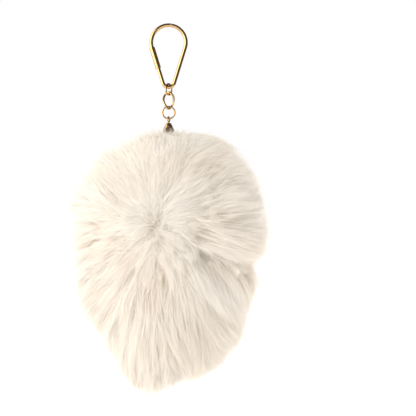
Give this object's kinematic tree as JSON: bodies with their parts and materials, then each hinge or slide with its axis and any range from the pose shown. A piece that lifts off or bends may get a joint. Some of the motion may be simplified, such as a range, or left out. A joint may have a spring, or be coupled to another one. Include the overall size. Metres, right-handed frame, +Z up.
{
  "type": "plush keychain",
  "caption": "Pale long-haired fur pom on a short gold chain, with a pear-shaped clasp whose sprung gate pulls out and swivels open.",
  "frame": {"origin": "hang point: the inside of the clasp loop at its top, where the keychain hangs from a ring or strap", "axes": "+Z up along the chain towards the clasp, -Y towards the front of the pom, +X to the right in front view"},
  "size_m": [0.134, 0.106, 0.2527],
  "materials": {
    "gold_plate": "polished",
    "spring_steel": "satin",
    "fur": "matte",
    "pelt_leather": "matte",
    "sewing_thread": "matte",
    "fibrefill": "matte"
  },
  "bodies": {
    "clasp": {"clasp_frame": "gold_plate", "gate_sleeve": "gold_plate", "sleeve_bush": "spring_steel", "gate_spring": "spring_steel"},
    "spring_carriage": {"spring_seat": "spring_steel"},
    "gate": {"clasp_gate": "gold_plate", "gate_stop_collar": "spring_steel"},
    "clasp_link": {"clasp_link": "gold_plate"},
    "curb_link": {"curb_link": "gold_plate"},
    "jump_ring": {"jump_ring": "gold_plate"},
    "pom": {"eye_pin": "gold_plate", "bell_cap": "gold_plate", "anchor_washer": "spring_steel", "crimp_bead": "spring_steel", "neck_binding": "sewing_thread", "crown_pelt": "pelt_leather", "lower_pelt": "pelt_leather", "waist_seam": "sewing_thread", "back_seam": "sewing_thread", "stuffing_core": "fibrefill", "crown_fur": "fur", "lower_fur": "fur"}
  },
  "joints": [
    {"name": "gate_pull", "type": "slide", "parent": "clasp", "child": "spring_carriage", "axis": [-0.2952, 0, 0.9554], "range_m": [0, 0.004], "stiffness_N_per_m": 800, "springref_m": -0.002, "deforming": ["gate_spring"]},
    {"name": "gate_swivel", "type": "hinge", "parent": "spring_carriage", "child": "gate", "pos_m": [-0.01123, 0, -0.01397], "axis": [-0.2952, 0, 0.9554], "continuous": true},
    {"name": "clasp_link_swing", "type": "hinge", "parent": "clasp", "child": "clasp_link", "pos_m": [0, 0, -0.04075], "axis": [1, 0, 0], "range_deg": [-60, 60]},
    {"name": "curb_link_swing", "type": "hinge", "parent": "clasp_link", "child": "curb_link", "pos_m": [0, 0, -0.04595], "axis": [0.5, 0.866, 0], "range_deg": [-50, 50]},
    {"name": "jump_ring_swing", "type": "hinge", "parent": "curb_link", "child": "jump_ring", "pos_m": [0, 0, -0.05545], "axis": [-0.5, -0.866, 0], "range_deg": [-50, 50]},
    {"name": "pom_swing", "type": "hinge", "parent": "jump_ring", "child": "pom", "pos_m": [0, 0, -0.06225], "axis": [-1, 0, 0], "range_deg": [-60, 60]}
  ]
}
